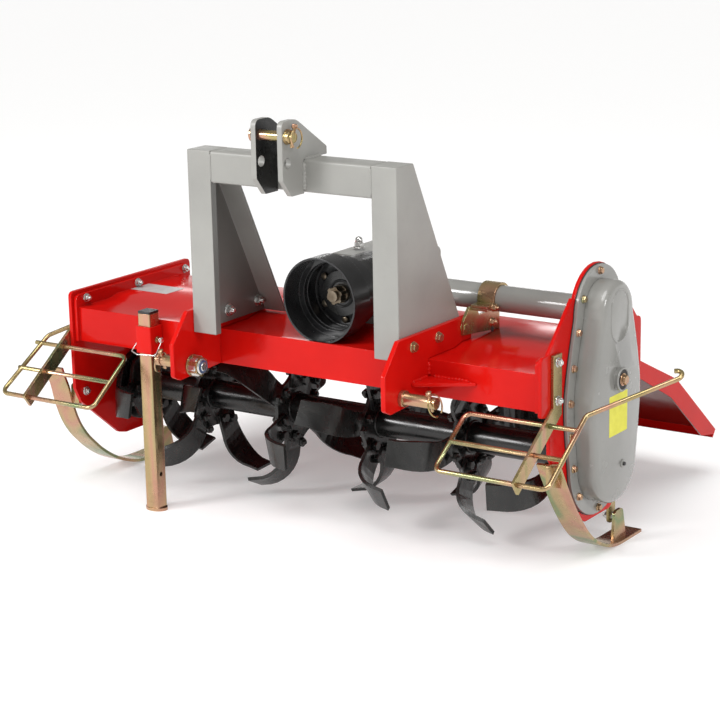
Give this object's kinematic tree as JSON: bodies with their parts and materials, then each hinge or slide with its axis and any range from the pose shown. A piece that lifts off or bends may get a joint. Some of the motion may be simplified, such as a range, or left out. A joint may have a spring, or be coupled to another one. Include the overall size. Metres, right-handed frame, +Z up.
{
  "type": "rotary tiller",
  "caption": "Tractor-mounted rotary tiller: red deck over a bladed rotor, hitch mast, side drive case, skids, front guards, rear board and parking stand.",
  "frame": {"origin": "middle of the footprint's bounding box, on the floor that the skids and the parking stand rest on", "axes": "+Z up; +X along the rotor towards the drive case; -Y towards the tractor"},
  "size_m": [1.3734, 0.902, 0.824],
  "materials": {
    "red_paint": "gloss red paint",
    "grey_paint": "semi-gloss warm grey paint",
    "black_paint": "satin black paint",
    "black_plastic": "moulded black plastic with a slight sheen",
    "yellow_zinc": "yellow chromate zinc plating with pink and green tints",
    "bare_steel": "machined steel, lightly oiled",
    "bright_zinc": "bright zinc-plated fasteners",
    "yellow_label": "blank yellow sticker",
    "nylon_blue": "blue nylon lock-nut insert",
    "dark_gasket": "dark gasket paper and sealant"
  },
  "bodies": {
    "frame": {"deck": "red_paint", "left_end_plate": "red_paint", "right_end_plate": "red_paint", "left_hitch_plate": "red_paint", "right_hitch_plate": "red_paint", "left_gusset": "red_paint", "right_gusset": "red_paint", "stand_sleeve": "red_paint", "left_mast_leg": "grey_paint", "right_mast_leg": "grey_paint", "mast_beam": "grey_paint", "left_mast_ear": "grey_paint", "right_mast_ear": "grey_paint", "gearbox": "grey_paint", "side_tube": "grey_paint", "case_flange": "grey_paint", "case_cover": "grey_paint", "left_bearing_housing": "black_paint", "right_bearing_housing": "black_paint", "pto_shield": "black_plastic", "left_lower_pin": "yellow_zinc", "right_lower_pin": "yellow_zinc", "top_link_pin": "yellow_zinc", "clamp_strap": "yellow_zinc", "clamp_bracket": "yellow_zinc", "stand_pin": "yellow_zinc", "left_skid": "yellow_zinc", "right_skid": "yellow_zinc", "left_skid_upright": "yellow_zinc", "right_skid_upright": "yellow_zinc", "left_guard_bar": "yellow_zinc", "right_guard_bar": "yellow_zinc", "left_guard_frame": "yellow_zinc", "right_guard_frame": "yellow_zinc", "rear_hinge_rod": "yellow_zinc"},
    "rotor": {"rotor_tube": "black_paint", "tine_set_1": "black_paint", "tine_set_2": "black_paint", "tine_set_3": "black_paint", "tine_set_4": "black_paint", "tine_set_5": "black_paint", "tine_set_6": "black_paint"},
    "pto_drive_shaft": {"pto_shaft": "bare_steel"},
    "rear_board": {"rear_board": "red_paint"},
    "stand": {"stand_tube": "yellow_zinc", "stand_cap": "black_plastic"}
  },
  "joints": [
    {"name": "rotor_spin", "type": "hinge", "parent": "frame", "child": "rotor", "pos_m": [0.00103, -0.10614, 0.19], "axis": [1, 0, 0], "continuous": true},
    {"name": "pto_spin", "type": "hinge", "parent": "frame", "child": "pto_drive_shaft", "pos_m": [0.00103, -0.22614, 0.467], "axis": [0, -1, 0], "continuous": true},
    {"name": "rear_board_lift", "type": "hinge", "parent": "frame", "child": "rear_board", "pos_m": [0.00103, 0.07086, 0.337], "axis": [1, 0, 0], "range_deg": [0, 55]},
    {"name": "stand_slide", "type": "slide", "parent": "frame", "child": "stand", "axis": [0, 0, 1], "range_m": [0, 0.275]}
  ],
  "couplings": [
    {"joint": "pto_spin", "follows": "rotor_spin", "ratio": 2.6}
  ]
}
